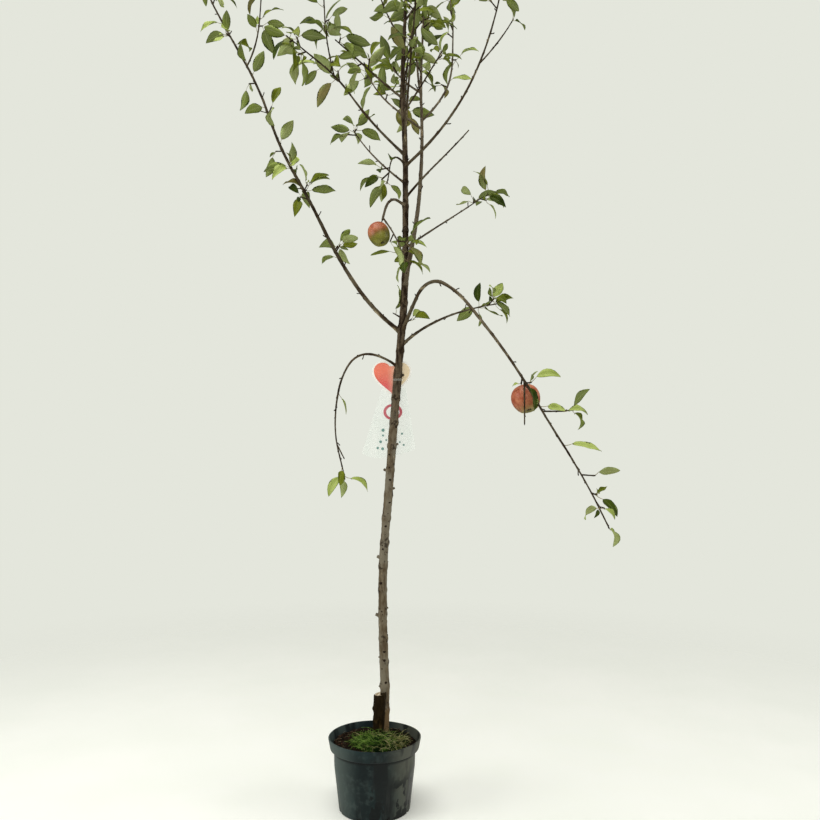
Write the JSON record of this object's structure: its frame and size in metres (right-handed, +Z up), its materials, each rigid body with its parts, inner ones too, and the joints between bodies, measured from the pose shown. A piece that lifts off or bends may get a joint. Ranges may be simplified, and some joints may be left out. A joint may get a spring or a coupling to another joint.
{
  "type": "potted fruit tree",
  "caption": "Slim young fruit tree in a round nursery pot: a long bare leaning trunk, thin side boughs, sparse leafy tops and a few round fruits, standing by itself.",
  "frame": {"origin": "centre of the pot's flat underside", "axes": "+Z up along the plant, -Y towards its front, +X to the right as seen from the front"},
  "size_m": [1.1907, 0.8434, 2.6336],
  "materials": {
    "pot": "matte",
    "soil": "rough",
    "moss": "rough",
    "bark": "rough",
    "foliage": "satin",
    "card": "gloss",
    "film": "gloss"
  },
  "bodies": {
    "root": {"bough_back_upper": "bark", "bough_front_upper": "bark", "bough_left_arching": "bark", "bough_left_inner": "bark", "bough_left_long": "bark", "bough_left_mid": "bark", "bough_left_upper": "bark", "bough_right_arching_fall": "bark", "bough_right_arching_rise": "bark", "bough_right_bare": "bark", "bough_right_inner": "bark", "bough_right_low": "bark", "bough_right_mid": "bark", "bough_right_upper": "bark", "bough_second_leader": "bark", "foliage_back_fruit_spur": "foliage", "foliage_back_upper": "foliage", "foliage_front_upper": "foliage", "foliage_left_arching": "foliage", "foliage_left_fruit_spur": "foliage", "foliage_left_hanging": "foliage", "foliage_left_inner": "foliage", "foliage_left_long": "foliage", "foliage_left_mid": "foliage", "foliage_left_upper": "foliage", "foliage_low_spur_left": "foliage", "foliage_low_spur_right": "foliage", "foliage_low_twig_left": "foliage", "foliage_low_twig_right": "foliage", "foliage_right_arching": "foliage", "foliage_right_inner": "foliage", "foliage_right_low": "foliage", "foliage_right_mid": "foliage", "foliage_right_upper": "foliage", "foliage_second_leader": "foliage", "foliage_top_1": "foliage", "foliage_top_2": "foliage", "foliage_top_3": "foliage", "foliage_top_4": "foliage", "foliage_top_5": "foliage", "foliage_top_6": "foliage", "foliage_top_7": "foliage", "foliage_top_8": "foliage", "foliage_top_tip": "foliage", "label_film": "film", "label_heart": "card", "moss": "moss", "pot": "pot", "soil": "soil", "trunk": "bark"}
  },
  "joints": []
}
